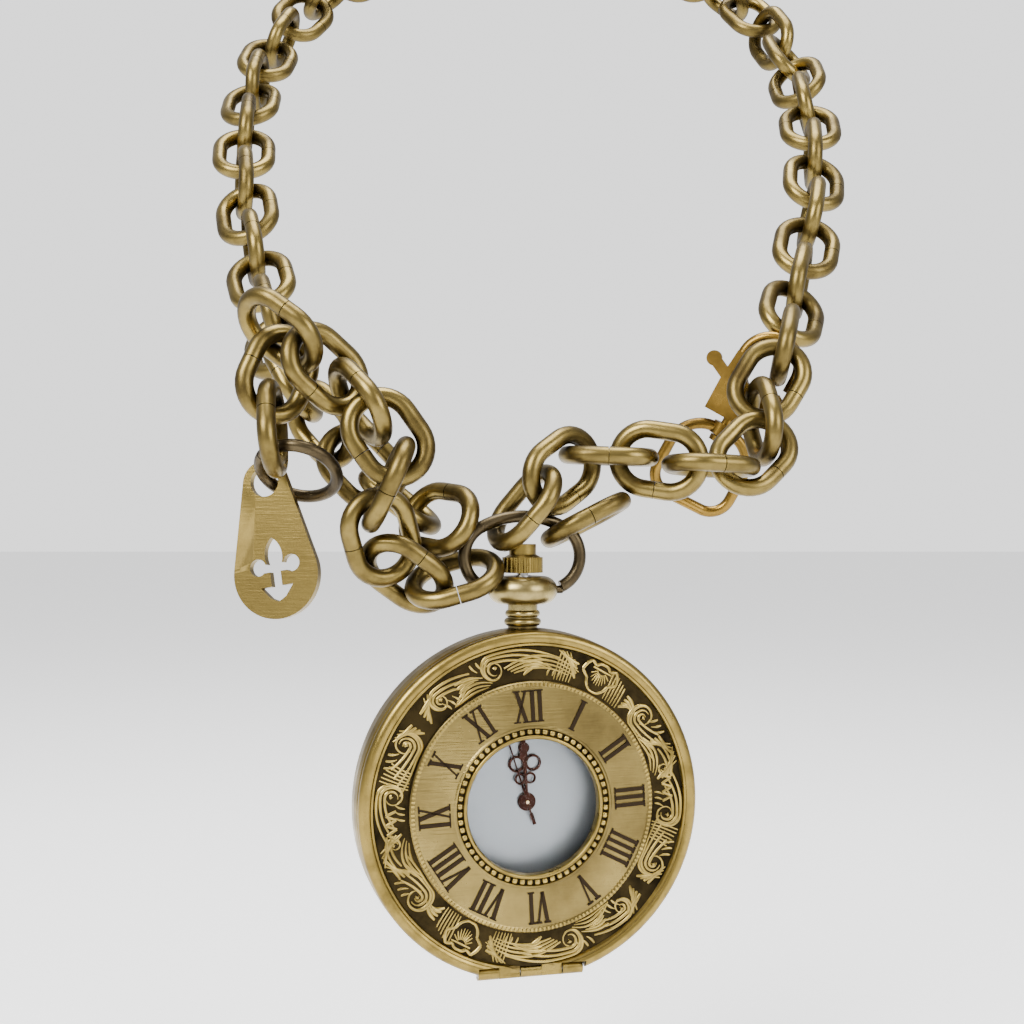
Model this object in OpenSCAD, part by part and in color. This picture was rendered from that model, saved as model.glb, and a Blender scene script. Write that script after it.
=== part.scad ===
// Pocket watch chain worn as a necklace: a draped cable chain with its doubled
// front, a half-hunter quartz pocket watch on its bow, a swivel lobster clasp
// and a pierced teardrop tag. Millimetres, +Z up, -Y toward the viewer.

/* [Chain link] */
// outer length of a link
link_length = 14.0; // [10:0.1:20]
// outer width of a link
link_width = 10.8; // [8:0.1:16]
// wire diameter of a link
link_wire = 2.5; // [1.5:0.05:3.5]
// play left between two linked wires
link_play = 0.16; // [0.05:0.01:0.5]
// opening of the butt seam in a link's side
seam_gap = 0.12; // [0:0.01:0.4]

/* [Watch case] */
// diameter of the watch case
case_diameter = 47.0; // [35:0.5:60]
// turn of the hanging watch about the vertical
watch_yaw = 14; // [-30:1:30]
// diameter of the window in the front cover
window_diameter = 18.0; // [10:0.5:26]
// diameter of the hinge barrel
hinge_barrel = 1.9; // [1.5:0.1:3]
// diameter of the hinge pin
hinge_pin_d = 0.9; // [0.6:0.05:1.4]
// radial play of a pin in its hole
pin_play = 0.05; // [0.02:0.01:0.1]

/* [Pendant and crown] */
// diameter of the pendant collar
collar_diameter = 9.6; // [7:0.1:12]
// height of the pendant collar
collar_height = 3.8; // [2:0.1:6]
// diameter of the knurled crown
crown_diameter = 5.6; // [4:0.1:8]
// diameter of the crown stem
stem_diameter = 1.6; // [1:0.1:2.4]
// wire diameter of the bow
bow_wire = 1.7; // [1:0.1:2.5]
// radius of the bow's side arcs
bow_side_radius = 4.6; // [3:0.1:7]

/* [Clasp and tag] */
// thickness of the clasp body
clasp_thickness = 3.2; // [2:0.1:5]
// wire diameter of the clasp hook and loop
clasp_wire = 1.7; // [1.2:0.1:2.6]
// length of the tag
tag_length = 21.5; // [15:0.5:35]
// width of the tag
tag_width = 12.0; // [8:0.5:20]
// thickness of the tag
tag_thickness = 1.2; // [0.8:0.1:2.5]

/* [Hidden] */
$fn = 64;
rw = link_wire/2;                       // link wire radius
link_mid = link_length - link_wire;     // length between end wire centres
end_r = (link_width - link_wire)/2;     // radius of a link's end bend
half_side = link_mid/2 - end_r;         // half the straight side
reach = rw + link_play/2;               // contact point to wire centre
case_r = case_diameter/2;
win_r = window_diameter/2;
barrel_r = hinge_barrel/2;
pin_r = hinge_pin_d/2;
stem_r = stem_diameter/2;
bow_r = bow_wire/2;
collar_y = case_r + 5.1;                // collar centre above the case centre
collar_ring = collar_height/2;          // radius of the collar's rounded rim
hinge_y = -(case_r - 1.2);              // cover hinge axis
hinge_z = 2.4;

pend_z = -1.4;                          // pendant axis behind the case centre
chain_k = link_mid/11.5;                // the layout grows with the link
pivot_r = 0.55;                         // bow pivot radius
sleeve_r = 1.5;                         // stem sleeve radius
barrel_len = 14.6;                      // length of the cover hinge
hour_r = 0.8;                           // hour wheel pipe
cannon_r = 0.5;                         // cannon pinion
arbor_r = 0.22;                         // centre seconds arbor
wheel_play = 0.06;                      // radial play of the hands' tubes and wheels
minute_wheel_at = [-2.7, 1.62];         // wheel centres from the dial's centre
step_at = [-1.08, -2.97];
rotor_at = [-3.54, -4.39];
ring_r = 5.2;                           // jump ring, to the wire's centre
ring_wire_r = 0.85;
tag_hole_r = 2.0;
tag_hole_y = 0.2;

// Neck loop: one step per link from the nape, which is the origin, down each side.
// Heading in the loop's slope and the slope's own angle, in degrees.

neck_heading = [6, 14, 24, 36, 50, 63, 74, 82, 88, 91, 94, 96, 99, 102, 104, 106, 106, 104];
neck_slope = [76, 74, 70, 64, 58, 52, 48, 45, 44, 42, 44, 46, 48, 50, 50, 46, 42, 40];
left_roll = [90, 0, 90, 0, 90, 0, 90, 0, 90, 5, 75, -8, 70, 6, 72, -4, 78, 10];
right_roll = [90, 0, 90, 0, 102, 24, 126, 48, 150, 72, 174, 80, 5, 85, -5, 72, 8, 78];
neck_pitch = link_mid - link_wire - 0.2;

// Where the front of the chain hangs, and the watch's collar under it.
chest = [0, -90, -118.5]*chain_k;
collar_at = chest + [-1.4, -7, -10.7];

// Front strands: [heading in the front plane, tilt into depth, roll, slack].
left_steps = [[-59, -25, 97, 0.4], [-47, -18, 215, 0.2], [-46, -6, -22, 0.4], [-38, -13, 98, 2.2],
  [-9, -43, -19, 0]];
doubled_start = chest + [-6.4, -9.6, -7.8];
doubled_steps = [[196, -2, 59, 0], [143, -11, 141, 2.4], [103, -19, 24, 1.8], [64, -12, 99, 0],
  [125, 1, 12, 2.2], [134, 32, 119, 1.8], [137.3, -24.2, 35.6, 0.7], [143.6, 9.8, 131.3, 0.6]];
right_steps = [[-122, -12, 14, 1.1], [-84, -42, 77, 1.2], [-136, -20, 13, 2.4], [177, -15, 94, 0],
  [171, 12, -5, 2.4], [-182, 3, 89, 1.2], [-142, -31, -24, 0.2], [-130, 7, 63, 1.2]];

// Links that hang free: [centre from the chest, heading, tilt, roll].
tag_links = [[[-34.12, -12.48, 18.36], 69.0, 16.9, 31.6],
  [[-34.42, -14.62, 11.06], -83.8, 146.5, 89.8]];
bow_link_at = [[7.4, -5, -1.1], 27, 10, 85];

// Clasp: rivet's place, lean of its length, tilt into depth, turn about it, turn of its loop.
clasp_at = [31.3, 10.7, 17.1];
clasp_lean = 27.5;
clasp_tilt = -11.5;
clasp_turn = 9;
loop_turn = 15;

// Jump ring and tag: [place, heading, tilt, roll], and the turn of the ring's seam.
ring_at = [[-31.32, -12.51, 5.44], -12.5, 3.6, 51.4];
ring_seam = 160;
tag_at = [[-36.1, -10.1, 4.0], 98.3, 7, -12.4];

function unit(v) = v/norm(v);
function heading(h, t) = [cos(h)*cos(t), sin(t), sin(h)*cos(t)];
// distance from a contact point to the wire centre where a chain bends from a to b
function contact(a, b) = reach/sqrt((1 + a*b)/2);
function neck_dir(s, k) = let (h = neck_heading[k], i = neck_slope[k])
  [s*cos(h), -sin(h)*cos(i), -sin(h)*sin(i)];
function neck_roll(s, k) = -s*(s < 0 ? left_roll[k] : right_roll[k]);
// contact point at the start of neck step k, counted from 0
function neck_joint(s, k) = k == 0 ? [s*neck_pitch/2, 0, 0]
  : neck_joint(s, k - 1) + neck_pitch*neck_dir(s, k - 1);
function steps_dir(st, i) = heading(st[i][0], st[i][1]);
function along(q, before, st, i = 0) = i == len(st) ? [] :
  let (d = steps_dir(st, i), next = i + 1 < len(st) ? steps_dir(st, i + 1) : d,
       oa = contact(before, d), ob = contact(d, next), s = st[i][3])
  concat([[q + d*(link_mid/2 - oa - s/2), d, st[i][2]]],
         along(q + d*(link_mid - oa - ob - s), d, st, i + 1));
left_links = along(neck_joint(-1, 18), neck_dir(-1, 17), left_steps);
doubled_links = along(doubled_start, steps_dir(doubled_steps, 0), doubled_steps);
right_links = along(neck_joint(1, 18), neck_dir(1, 17), right_steps);

// A link: bent round wire with one butt seam, long axis X, lying in XY.
module bend(r, w, angle) rotate_extrude(angle = angle) translate([r, 0]) circle(w);
module link() difference() {
  union() {
    for (s = [0, 180]) rotate([0, 0, s]) {
      translate([half_side, 0, 0]) rotate([0, 0, -90]) bend(end_r, rw, 180);
      translate([-half_side, -end_r, 0]) rotate([0, 90, 0]) cylinder(r = rw, h = 2*half_side);
    }
  }
  if (seam_gap > 0) translate([-seam_gap/2, end_r - 2*rw, -2*rw]) cube([seam_gap, 4*rw, 4*rw]);
}
// Frame with X along d and its width turned by roll from the front plane.
module placed(c, d, roll) {
  w0 = unit(cross(d, [0, 1, 0]));
  n0 = cross(d, w0);
  w = cos(roll)*w0 + sin(roll)*n0;
  n = cross(d, w);
  multmatrix([[d.x, w.x, n.x, c.x], [d.y, w.y, n.y, c.y], [d.z, w.z, n.z, c.z], [0, 0, 0, 1]]) children();
}
module neck_link(s, k) {
  d = neck_dir(s, k - 1);
  placed(neck_joint(s, k - 1) + d*neck_pitch/2, d, neck_roll(s, k - 1)) link();
}
module links(list, from, to) for (i = [from : to]) placed(list[i][0], list[i][1], list[i][2]) link();

// Links held around the wearer's neck
module neck_links() color([0.60, 0.50, 0.28]) {
  placed([0, 0, 0], [1, 0, 0], 0) link();
  for (k = [1 : 10]) { neck_link(-1, k); neck_link(1, k); }
}
module left_row(k) color([0.62, 0.52, 0.30]) neck_link(-1, k);
module right_row(k) color([0.62, 0.52, 0.30]) neck_link(1, k);
module left_strand() color([0.60, 0.50, 0.28]) links(left_links, 0, len(left_links) - 1);
module doubled_strand_low() color([0.66, 0.55, 0.32]) links(doubled_links, 0, 2);
module doubled_strand_high() color([0.66, 0.55, 0.32])
  links(doubled_links, 3, len(doubled_links) - 1);
module free_link(at) placed(chest + at[0]*chain_k, heading(at[1], at[2]), at[3]) link();
module tag_strand() color([0.58, 0.48, 0.27]) for (at = tag_links) free_link(at);
module right_strand_high() color([0.62, 0.52, 0.30]) links(right_links, 0, 3);
module right_strand_low() color([0.62, 0.52, 0.30]) links(right_links, 4, len(right_links) - 1);
module bow_link() color([0.62, 0.52, 0.30]) free_link(bow_link_at);

// The watch is drawn flat, 12 o'clock at +Y and its face at +Z, then hung up.
module hung() translate(collar_at) rotate([90, 0, watch_yaw]) translate([0, -collar_y, -pend_z])
  children();
module along_y(z = pend_z) translate([0, 0, z]) rotate([-90, 0, 0]) children();
module along_x() rotate([0, 90, 0]) children();

// Bow: a flattened hoop of wire whose turned-in ends are pivots in the collar
module bow() color([0.36, 0.31, 0.20]) hung() {
  a = 62;
  side_x = collar_diameter/2 - 1.2;
  translate([0, collar_y, pend_z]) {
    translate([0, bow_side_radius - side_x*tan(a), 0]) rotate([0, 0, a])
      bend(side_x/cos(a) + bow_side_radius, bow_r, 180 - 2*a);
    for (s = [0, 1]) mirror([s, 0, 0]) {
      translate([side_x, bow_side_radius, 0]) {
        rotate([0, 0, -66]) bend(bow_side_radius, bow_r, 66 + a);
        translate([bow_side_radius*cos(a), bow_side_radius*sin(a), 0]) sphere(bow_r*1.02);
      }
      translate([collar_diameter/2 - 1.05, 0, 0]) along_x() cylinder(r = pivot_r, h = 1.9);
    }
  }
}

// Pendant: neck with two rings and the rounded collar, soldered in the case
module pendant() color([0.62, 0.52, 0.30]) hung() difference() {
  along_y() rotate_extrude() {
    translate([0, case_r - 1.8]) square([2.05, collar_y - case_r + 1.8]);
    translate([2.0, case_r + 0.75]) circle(0.55);
    translate([1.9, case_r + 1.9]) circle(0.5);
    translate([0, collar_y - collar_ring*0.92]) square([collar_diameter/2 - collar_ring, collar_ring*1.84]);
    translate([collar_diameter/2 - collar_ring, collar_y]) circle(collar_ring);
  }
  along_y() translate([0, 0, case_r - 3]) cylinder(r = stem_r + pin_play, h = 12);
  along_y() translate([0, 0, collar_y]) cylinder(r = sleeve_r + pin_play, h = 4);
  for (s = [0, 1]) mirror([s, 0, 0]) translate([collar_diameter/2 - 1.3, collar_y, pend_z])
    along_x() cylinder(r = pivot_r + pin_play, h = 2.3);
}
// Crown: knurled skirt with a smooth button on top
module crown() color([0.60, 0.50, 0.28]) hung() along_y() difference() {
  translate([0, 0, collar_y + 2.4]) {
    linear_extrude(2.1) difference() {
      circle(crown_diameter/2);
      for (i = [0 : 23]) rotate(i*15) translate([crown_diameter/2 + 0.08, 0]) circle(0.24);
    }
    translate([0, 0, 2.1]) cylinder(r1 = crown_diameter/2 - 0.25, r2 = crown_diameter/3, h = 0.4);
    translate([0, 0, 2.4]) cylinder(r = crown_diameter/3, h = 1.5);
  }
  translate([0, 0, collar_y + 2]) cylinder(r = stem_r, h = 2);
}
module crown_stem() color([0.7, 0.7, 0.7]) hung() along_y() {
  translate([0, 0, case_r - 7]) cylinder(r = stem_r, h = collar_y - case_r + 7 + 4);
  translate([0, 0, 11.2]) cylinder(r = 0.5, h = case_r - 17.2 - 0.6 + 0.1);
  translate([0, 0, collar_y + 0.5]) cylinder(r = 1.15, h = 0.25);
  translate([0, 0, collar_y + 1.8]) cylinder(r = 1.15, h = 0.25);
}
module stem_sleeve() color([0.7, 0.65, 0.5]) hung() along_y() translate([0, 0, collar_y + 0.8])
  difference() {
    cylinder(r = sleeve_r, h = 0.95);
    translate([0, 0, -1]) cylinder(r = stem_r + pin_play, h = 3);
  }

// Case band with the crystal's seat, the catch slot and three hinge knuckles
module on_hinge(i) translate([-barrel_len/2 + i*barrel_len/5, hinge_y, hinge_z]) children();
module knuckle(i) on_hinge(i) translate([0.05, 0, 0]) along_x()
  cylinder(r = barrel_r, h = barrel_len/5 - 0.1);
module hinge_hole() on_hinge(-1) along_x() cylinder(r = pin_r + pin_play, h = barrel_len*1.4);
module case_middle() color([0.55, 0.46, 0.26]) hung() difference() {
  union() {
    difference() {
      rotate_extrude() translate([case_r, 0]) polygon([
        [-2.9, -4.1], [-0.9, -4.1], [-0.3, -3.3], [0, -1.6], [0, 0.6], [-0.2, 1.7], [-0.6, 2.3],
        [-4, 2.3], [-4, 1.5], [-4.7, 1.5], [-4.7, 1], [-2.9, 1]]);
      for (i = [1, 3]) on_hinge(i) translate([-0.1, 0, 0]) along_x()
        cylinder(r = barrel_r + 0.15, h = barrel_len/5 + 0.2);
    }
    for (i = [0, 2, 4]) knuckle(i);
  }
  hinge_hole();
  along_y() translate([0, 0, case_r - 5]) cylinder(r = stem_r + pin_play, h = 8);
  along_y() translate([0, 0, case_r - 1.8]) cylinder(r = 2.05, h = 6);
  translate([-1.3, case_r - 3.2, 0.15]) cube([2.6, 1.4, 0.9]);
  translate([-1.6, case_r - 2.7, 0.15]) cube([3.2, 0.8, 4]);
}
module case_back() color([0.58, 0.48, 0.27]) hung() rotate_extrude() polygon([
  [0, -6.6], [case_r/2, -6.5], [case_r - 5.5, -6.15], [case_r - 1.6, -5.1],
  [case_r - 1.1, -4.5], [case_r - 1.1, -4.15], [case_r - 2.95, -4.15], [case_r - 2.95, -3.3],
  [case_r - 3.7, -3.3], [case_r - 3.7, -4.3], [case_r - 6.5, -5.2], [0, -5.5]]);
module hinge_pin() color([0.7, 0.65, 0.5]) hung() on_hinge(0) along_x()
  cylinder(r = pin_r, h = barrel_len);
module crystal() color([0.85, 0.9, 0.92, 0.35]) hung() translate([0, 0, 1.5])
  cylinder(r = case_r - 4.05, h = 0.7);
module lock_slide() color([0.7, 0.7, 0.7]) hung() {
  translate([-1.2, case_r - 4.6, 0.57]) cube([2.4, 1.6, 0.35]);
  translate([-0.6, case_r - 3.4, 0.57]) cube([1.2, 0.72, 0.35]);
}

// Front cover: rolled rim, recessed ground, chapter ring and window
module front_cover() color([0.64, 0.53, 0.30]) hung() difference() {
  union() {
    difference() {
      rotate_extrude() polygon([
        [win_r, 3.55], [win_r, 4.9], [win_r + 0.3, 5.05], [win_r + 0.6, 4.9],
        [win_r + 0.7, 4.5], [win_r + 1.5, 4.5], [win_r + 1.6, 4.85], [win_r + 7.1, 4.6],
        [win_r + 7.5, 4.7], [win_r + 7.8, 4.0], [case_r - 2.1, 3.75], [case_r - 1.8, 4.15],
        [case_r - 1.1, 4.35], [case_r - 0.5, 4.05], [case_r - 0.2, 3.4], [case_r - 0.3, 2.5],
        [case_r - 3, 2.5], [case_r - 3.2, 3.0], [win_r + 1.9, 3.3], [win_r + 1.9, 2.8],
        [win_r + 0.85, 2.8], [win_r + 0.85, 3.55]]);
      translate([-barrel_len/2 - 0.1, hinge_y - 3, 0]) cube([barrel_len + 0.2, 3 + barrel_r + 0.15, 8]);
    }
    for (i = [1, 3]) {
      knuckle(i);
      on_hinge(i) translate([0.05, 0, 0.1]) cube([barrel_len/5 - 0.1, 2.4, barrel_r - 0.1]);
    }
    translate([-1.4, case_r - 2.6, 0.4]) cube([2.8, 0.5, 2.9]);
  }
  hinge_hole();
  translate([-0.7, case_r - 3, 0.5]) cube([1.4, 1.2, 0.5]);
}
module cover_window() color([0.85, 0.9, 0.92, 0.35]) hung() translate([0, 0, 2.85])
  cylinder(r = win_r + 0.8, h = 0.65);

// Dial and hands
module dial() color([0.93, 0.94, 0.94]) hung() translate([0, 0, 0.2]) difference() {
  cylinder(r = case_r - 3.9, h = 0.3);
  translate([0, 0, -1]) cylinder(r = 0.9, h = 3);
}
// Flat bar of width w from p to q
module bar(p, q, w) translate(p) rotate(atan2(q.y - p.y, q.x - p.x)) translate([0, -w/2])
  square([norm(q - p), w]);
module hour_hand() color([0.16, 0.08, 0.06]) hung() rotate([0, 0, 3]) translate([0, 0, 0.72])
  linear_extrude(0.14) difference() {
    union() {
      circle(1.25);
      bar([0, 0.9], [0, 9.2], 0.5);
      for (s = [-1, 1]) translate([s*1.15, 5.2]) difference() { circle(1.15); circle(0.8); }
      translate([0, 7.3]) circle(0.75);
    }
    circle(hour_r);
  }
module hour_wheel() color([0.8, 0.7, 0.4]) hung() difference() {
  union() {
    translate([0, 0, -0.05]) cylinder(r = 2.42, h = 0.15);
    cylinder(r = hour_r, h = 0.92);
  }
  translate([0, 0, -1]) cylinder(r = cannon_r + wheel_play, h = 3);
}
module minute_hand() color([0.16, 0.08, 0.06]) hung() rotate([0, 0, 5]) translate([0, 0, 0.99])
  linear_extrude(0.12) difference() {
    union() {
      circle(1.1);
      bar([0, 0.9], [0, 13.6], 0.4);
      for (s = [-1, 1]) translate([s*0.7, 3.2]) difference() { circle(0.8); circle(0.5); }
      translate([0, 6.4]) circle(0.6);
    }
    circle(cannon_r);
  }
module cannon_pinion() color([0.8, 0.7, 0.4]) hung() difference() {
  union() {
    translate([0, 0, -1.5]) cylinder(r = cannon_r, h = 2.65);
    translate([0, 0, -0.5]) cylinder(r = 0.69, h = 0.34);
  }
  translate([0, 0, -2]) cylinder(r = arbor_r + wheel_play, h = 5);
}
module second_hand() color([0.16, 0.08, 0.06]) hung() rotate([0, 0, 18]) translate([0, 0, 1.24])
  linear_extrude(0.1) difference() {
    union() {
      circle(0.55);
      bar([0, -3.2], [0, 14], 0.22);
      bar([0, -3.2], [0, -1.6], 0.5);
    }
    circle(arbor_r);
  }
module second_wheel() color([0.8, 0.7, 0.4]) hung() {
  translate([0, 0, -3.4]) cylinder(r = arbor_r, h = 4.78);
  translate([0, 0, -2.2]) cylinder(r = 2.6, h = 0.2);
}

// Quartz movement, seen only with the case open
module movement_holder() color([0.85, 0.85, 0.82]) hung() difference() {
  translate([0, 0, -3.9]) cylinder(r = case_r - 3.75, h = 4.0);
  translate([0, 0, -5]) cylinder(r = 13, h = 8);
  translate([-1.1, 10, -2.5]) cube([2.2, 14, 5]);
}
module movement_plate() color([0.75, 0.7, 0.55]) hung() difference() {
  translate([0, 0, -1.6]) cylinder(r = 12.9, h = 1.5);
  translate([0, 0, -3]) cylinder(r = cannon_r + wheel_play, h = 5);
  translate([0, 0, -0.6]) cylinder(r = 0.9, h = 2);
  translate([minute_wheel_at.x, minute_wheel_at.y, -0.6]) cylinder(r = 2.6, h = 2);
  translate([minute_wheel_at.x, minute_wheel_at.y, -3]) cylinder(r = 0.36, h = 4);
  translate([step_at.x, step_at.y, -3]) cylinder(r = 0.31, h = 4);
  translate([rotor_at.x, rotor_at.y, -3]) cylinder(r = 0.31, h = 4);
  translate([-0.9, 10.5, -3]) cube([1.8, 4, 4]);
}
module train_bridge() color([0.8, 0.76, 0.6]) hung() difference() {
  union() {
    translate([0, 0, -3.15]) cylinder(r = 12.6, h = 0.3);
    for (a = [65, 165, 285]) rotate([0, 0, a]) translate([11.4, 0, -2.9]) cylinder(r = 0.8, h = 1.3);
  }
  translate([7.4, -2, -4]) cylinder(r = 5.0, h = 2);
  translate([-11.2, 4.2, -4]) cube([10.6, 3.2, 2]);
  translate([0, 0, -4]) cylinder(r = arbor_r + wheel_play, h = 3);
  translate([step_at.x, step_at.y, -4]) cylinder(r = 0.31, h = 3);
  translate([rotor_at.x, rotor_at.y, -4]) cylinder(r = 0.31, h = 3);
  translate([-1.1, 9.5, -4]) cube([2.2, 4, 4]);
}
module circuit_board() color([0.10, 0.35, 0.20]) hung() translate([0, 0, -3.55]) linear_extrude(0.3)
  difference() {
    circle(12.4);
    translate([7.4, -2]) circle(5.1);
    translate([-13, -6.2]) square([26, 20]);
  }
module coil() color([0.75, 0.35, 0.15]) hung() translate([-10.2, 5.8, -2.7]) along_x() {
  cylinder(r = 0.95, h = 8.6);
  for (x = [-0.4, 8.4]) translate([0, 0, x]) cylinder(r = 1.05, h = 0.6);
}
module battery_cell() color([0.8, 0.8, 0.82]) hung() translate([7.4, -2, -3.85]) {
  cylinder(r = 4.75, h = 0.5);
  translate([0, 0, 0.4]) cylinder(r = 4.4, h = 1.8);
}
module rotor() color([0.5, 0.5, 0.52]) hung() translate([rotor_at.x, rotor_at.y, 0]) {
  translate([0, 0, -3.1]) cylinder(r = 0.25, h = 2.4);
  translate([0, 0, -2.3]) cylinder(r = 1.0, h = 0.55);
  translate([0, 0, -2.75]) cylinder(r = 0.4, h = 0.5);
}
module step_wheel() color([0.8, 0.7, 0.4]) hung() translate([step_at.x, step_at.y, 0]) {
  translate([0, 0, -3.1]) cylinder(r = 0.25, h = 2.4);
  translate([0, 0, -2.62]) cylinder(r = 2.4, h = 0.2);
  translate([0, 0, -2.5]) cylinder(r = 0.52, h = 0.6);
}
module minute_wheel() color([0.8, 0.7, 0.4]) hung() translate([minute_wheel_at.x, minute_wheel_at.y, 0]) {
  translate([0, 0, -1.5]) cylinder(r = 0.3, h = 1.2);
  translate([0, 0, -0.5]) cylinder(r = 2.42, h = 0.34);
  translate([0, 0, -0.3]) cylinder(r = 0.69, h = 0.4);
}

// Clasp, drawn upright around its rivet: X across, Y toward the hook's top
module clasped() {
  y = heading(90 - clasp_lean, clasp_tilt);
  x0 = unit(cross([0, 1, 0], y));
  x = cos(clasp_turn)*x0 + sin(clasp_turn)*cross(x0, y);
  z = cross(x, y);
  c = chest + clasp_at*chain_k;
  multmatrix([[x.x, y.x, z.x, c.x], [x.y, y.y, z.y, c.y], [x.z, y.z, z.z, c.z], [0, 0, 0, 1]])
    children();
}
module clasp_body() color([0.62, 0.44, 0.14]) clasped() difference() {
  union() {
    translate([0, 0, -clasp_thickness/2]) linear_extrude(clasp_thickness)
      polygon([[-3.9, -3.5], [2.2, -3.6], [4.9, 0.5], [4.4, 1.7], [1.7, 1.9],
        [0, 2.6], [-1.4, 4.2], [-1.9, 6.2], [-3.5, 6.2], [-3.9, 1.6]]);
    translate([-2.7, 5, 0]) rotate([-90, 0, 0]) cylinder(r = clasp_wire/2, h = 1.2);
    translate([1.6, 6.2, 0]) bend(4.3, clasp_wire/2, 180);
    translate([5.9, 3.9, 0]) rotate([-90, 0, 0]) cylinder(r = clasp_wire/2, h = 2.3);
    translate([0, -3, 0]) rotate([90, 0, 0]) cylinder(r = 0.7, h = 4);
    translate([0, -6.6, 0]) rotate([90, 0, 0]) cylinder(r = 1.25, h = 0.8);
  }
  translate([-6, -2.3, -0.75]) cube([14, 4.0, 1.5]);
  translate([-1.8, 1.6, -0.75]) cube([10, 2, 1.5]);
  translate([-6, 1.6, -0.75]) cube([4.3, 2.2, 1.5]);
  translate([0, 0, -3]) cylinder(r = 1.0, h = 6);
}
// Lever: thumb tab, pivot eye and gate in one piece, in the body's slot
module clasp_lever() color([0.60, 0.43, 0.15]) clasped() difference() {
  union() {
    translate([0, 0, -0.65]) linear_extrude(1.3) union() {
      circle(1.9);
      bar([-0.4, 0.6], [-6.2, 3.5], 1.7);
      translate([-6.2, 3.5]) circle(1.15);
      bar([0.2, -0.2], [4.2, 0.5], 1.7);
      translate([4.2, 0.5]) circle(1.0);
      bar([4.2, 0.5], [5.55, 2.75], 1.5);
    }
  }
  translate([0, 0, -3]) cylinder(r = 1.05, h = 6);
}
module clasp_rivet() color([0.50, 0.36, 0.14]) clasped() difference() {
  union() {
    cylinder(r = 1.0, h = clasp_thickness + 0.4, center = true);
    for (s = [-1, 1]) translate([0, 0, s*(clasp_thickness/2 + 0.15)])
      cylinder(r = 1.5, h = 0.3, center = true);
  }
  cylinder(r = 0.55, h = 10, center = true);
}
module clasp_spring() color([0.6, 0.6, 0.6]) clasped() translate([-3.0, -2.25, 0]) rotate([-90, 0, 0])
  for (i = [0 : 3]) translate([0, 0, 0.2 + i*0.34]) rotate_extrude() translate([0.42, 0]) circle(0.2);
// Loop: rounded wire ring with the eye that turns on the body's swivel pin
module clasp_loop() color([0.62, 0.44, 0.14]) clasped() rotate([0, loop_turn, 0]) difference() {
  union() {
    translate([-1.2, -5.5, 0]) along_x() cylinder(r = clasp_wire/2, h = 2.4);
    translate([-3.0, -17.7, 0]) along_x() cylinder(r = clasp_wire/2, h = 6.0);
    for (s = [0, 1]) mirror([s, 0, 0]) {
      translate([1.2, -10.5, 0]) bend(5.0, clasp_wire/2, 90);
      translate([6.2, -14.5, 0]) rotate([-90, 0, 0]) cylinder(r = clasp_wire/2, h = 4.0);
      translate([3.0, -14.5, 0]) rotate([0, 0, -90]) bend(3.2, clasp_wire/2, 90);
    }
    translate([0, -4.5, 0]) rotate([90, 0, 0]) cylinder(r = 1.7, h = 1.9);
  }
  translate([0, 0, 0]) rotate([90, 0, 0]) cylinder(r = 0.75, h = 8);
}

// Jump ring and tag
module charm_ring() color([0.30, 0.27, 0.20])
  placed(chest + ring_at[0]*chain_k, heading(ring_at[1], ring_at[2]), ring_at[3]) difference() {
    rotate_extrude() translate([ring_r, 0]) circle(ring_wire_r);
    rotate([0, 0, ring_seam]) translate([ring_r - 2, -0.08, -2]) cube([4, 0.16, 4]);
  }
// Tag, hung by its hole's centre: teardrop plate with a hanging hole and a lily cut-out
module petal(r, half) intersection() {
  translate([half - r, 0]) circle(r);
  translate([r - half, 0]) circle(r);
}
module tag_shape() {
  rb = tag_width/2;
  rt = tag_width*0.26;
  d = tag_length - rb - rt;
  a = asin((rb - rt)/d);
  translate([0, -tag_hole_y]) difference() {
    union() {
      circle(rt);
      translate([0, -d]) circle(rb);
      polygon([for (q = [[rt, 0], [-rt, 0], [-rb, -d], [rb, -d]])
        [q.x*cos(a), q.y + abs(q.x)*sin(a)]]);
    }
    translate([0, tag_hole_y]) circle(tag_hole_r);
    translate([0, -d + 0.9]) {
      translate([0, 1.6]) petal(3.1, 1.25);
      for (s = [-1, 1]) translate([s*2.4, 0.3]) circle(1.15);
      bar([-2.4, 0], [2.4, 0], 1.1);
      bar([0, 1], [0, -3.4], 1.5);
      polygon([[-2.3, -2.5], [2.3, -2.5], [1.1, -4.0], [0, -4.6], [-1.1, -4.0]]);
    }
  }
}
module charm_tag() color([0.60, 0.50, 0.22])
  placed(chest + tag_at[0]*chain_k, heading(tag_at[1], tag_at[2]), tag_at[3])
    rotate([0, 0, -90]) translate([0, 0, -tag_thickness/2]) linear_extrude(tag_thickness) tag_shape();

neck_links();
left_row(11);  // left_link_11
left_row(12);  // left_link_12
left_row(13);  // left_link_13
left_row(14);  // left_link_14
left_row(15);  // left_link_15
left_row(16);  // left_link_16
left_row(17);  // left_link_17
left_row(18);  // left_link_18
right_row(11);  // right_link_11
right_row(12);  // right_link_12
right_row(13);  // right_link_13
right_row(14);  // right_link_14
right_row(15);  // right_link_15
right_row(16);  // right_link_16
right_row(17);  // right_link_17
right_row(18);  // right_link_18
left_strand();
doubled_strand_low();
doubled_strand_high();
tag_strand();
right_strand_high();
right_strand_low();
bow_link();
bow();
pendant();
crown();
crown_stem();
stem_sleeve();
case_middle();
case_back();
hinge_pin();
crystal();
lock_slide();
front_cover();
cover_window();
dial();
hour_hand();
hour_wheel();
minute_hand();
cannon_pinion();
second_hand();
second_wheel();
movement_holder();
movement_plate();
train_bridge();
circuit_board();
coil();
battery_cell();
rotor();
step_wheel();
minute_wheel();
clasp_body();
clasp_lever();
clasp_rivet();
clasp_spring();
clasp_loop();
charm_ring();
charm_tag();
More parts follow.
